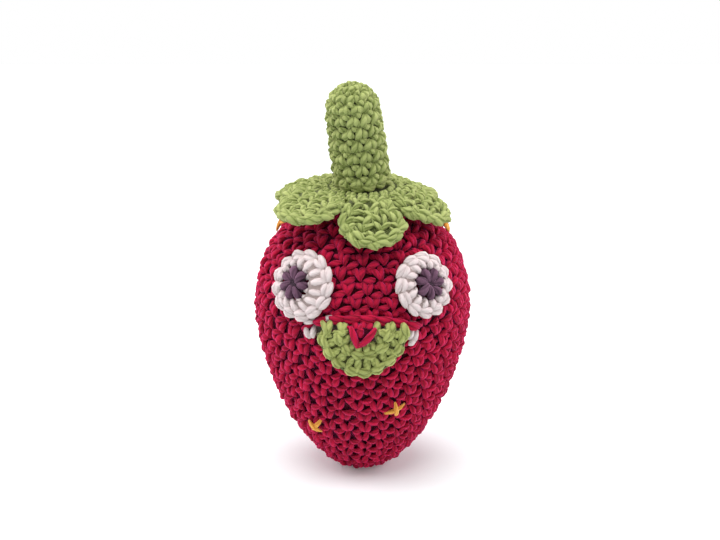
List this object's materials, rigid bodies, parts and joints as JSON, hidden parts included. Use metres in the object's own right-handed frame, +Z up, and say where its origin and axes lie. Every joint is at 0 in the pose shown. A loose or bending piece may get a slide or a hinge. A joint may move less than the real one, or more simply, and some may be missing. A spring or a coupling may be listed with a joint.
{
  "type": "crocheted strawberry toy",
  "caption": "Stuffed crocheted strawberry with sewn-on eyes, a tongue flap at its mouth, stitched seeds, a leaf crown of lifting lobes and a bendable stem.",
  "frame": {"origin": "centre of the flat base that the toy stands on", "axes": "+Z up along the body, -Y towards the face, +X to the viewer's right when looking at the face"},
  "size_m": [0.071, 0.0768, 0.1311],
  "materials": {
    "red_yarn": "crocheted cotton yarn, crimson",
    "green_yarn": "crocheted cotton yarn, light leaf green",
    "white_yarn": "crocheted cotton yarn, off-white",
    "purple_yarn": "crocheted cotton yarn, dusky purple",
    "yellow_thread": "sewing yarn, warm yellow",
    "fibre_filling": "loose polyester fibre"
  },
  "bodies": {
    "body": {"body_cover": "red_yarn", "body_stuffing": "fibre_filling", "mouth_lining": "white_yarn", "upper_lip_ridge": "red_yarn", "left_eye_white": "white_yarn", "left_eye_pupil": "purple_yarn", "right_eye_white": "white_yarn", "right_eye_pupil": "purple_yarn", "seed_1": "yellow_thread", "seed_2": "yellow_thread", "seed_3": "yellow_thread", "seed_4": "yellow_thread", "seed_5": "yellow_thread", "seed_6": "yellow_thread", "seed_7": "yellow_thread", "seed_8": "yellow_thread", "crown_middle": "green_yarn", "stem_base_round": "green_yarn"},
    "stem": {"stem_cover": "green_yarn", "stem_stuffing": "fibre_filling"},
    "tongue": {"tongue_rounds": "green_yarn", "tongue_centre": "red_yarn"},
    "lobe_1": {"crown_lobe_1": "green_yarn"},
    "lobe_2": {"crown_lobe_2": "green_yarn"},
    "lobe_3": {"crown_lobe_3": "green_yarn"},
    "lobe_4": {"crown_lobe_4": "green_yarn"},
    "lobe_5": {"crown_lobe_5": "green_yarn"},
    "lobe_6": {"crown_lobe_6": "green_yarn"}
  },
  "joints": [
    {"name": "stem_bend", "type": "hinge", "parent": "body", "child": "stem", "pos_m": [-0.0008, 0, 0.107], "axis": [0, 1, 0], "range_deg": [-20, 30], "stiffness_Nm_per_rad": 0.012},
    {"name": "tongue_lift", "type": "hinge", "parent": "body", "child": "tongue", "pos_m": [0, -0.0378, 0.063], "axis": [-1, 0, 0], "range_deg": [0, 90]},
    {"name": "lobe_1_lift", "type": "hinge", "parent": "body", "child": "lobe_1", "pos_m": [0.00184, -0.01307, 0.09675], "axis": [-0.9903, -0.1392, 0], "range_deg": [0, 45], "stiffness_Nm_per_rad": 0.005},
    {"name": "lobe_2_lift", "type": "hinge", "parent": "body", "child": "lobe_2", "pos_m": [0.01224, -0.00494, 0.09675], "axis": [-0.3746, -0.9272, 0], "range_deg": [0, 45], "stiffness_Nm_per_rad": 0.005},
    {"name": "lobe_3_lift", "type": "hinge", "parent": "body", "child": "lobe_3", "pos_m": [0.0104, 0.00813, 0.09675], "axis": [0.6157, -0.788, 0], "range_deg": [-8, 45], "stiffness_Nm_per_rad": 0.005},
    {"name": "lobe_4_lift", "type": "hinge", "parent": "body", "child": "lobe_4", "pos_m": [-0.00184, 0.01307, 0.09675], "axis": [0.9903, 0.1392, 0], "range_deg": [-12, 45], "stiffness_Nm_per_rad": 0.005},
    {"name": "lobe_5_lift", "type": "hinge", "parent": "body", "child": "lobe_5", "pos_m": [-0.01224, 0.00494, 0.09675], "axis": [0.3746, 0.9272, 0], "range_deg": [-12, 45], "stiffness_Nm_per_rad": 0.005},
    {"name": "lobe_6_lift", "type": "hinge", "parent": "body", "child": "lobe_6", "pos_m": [-0.0104, -0.00813, 0.09675], "axis": [-0.6157, 0.788, 0], "range_deg": [-12, 45], "stiffness_Nm_per_rad": 0.005}
  ]
}
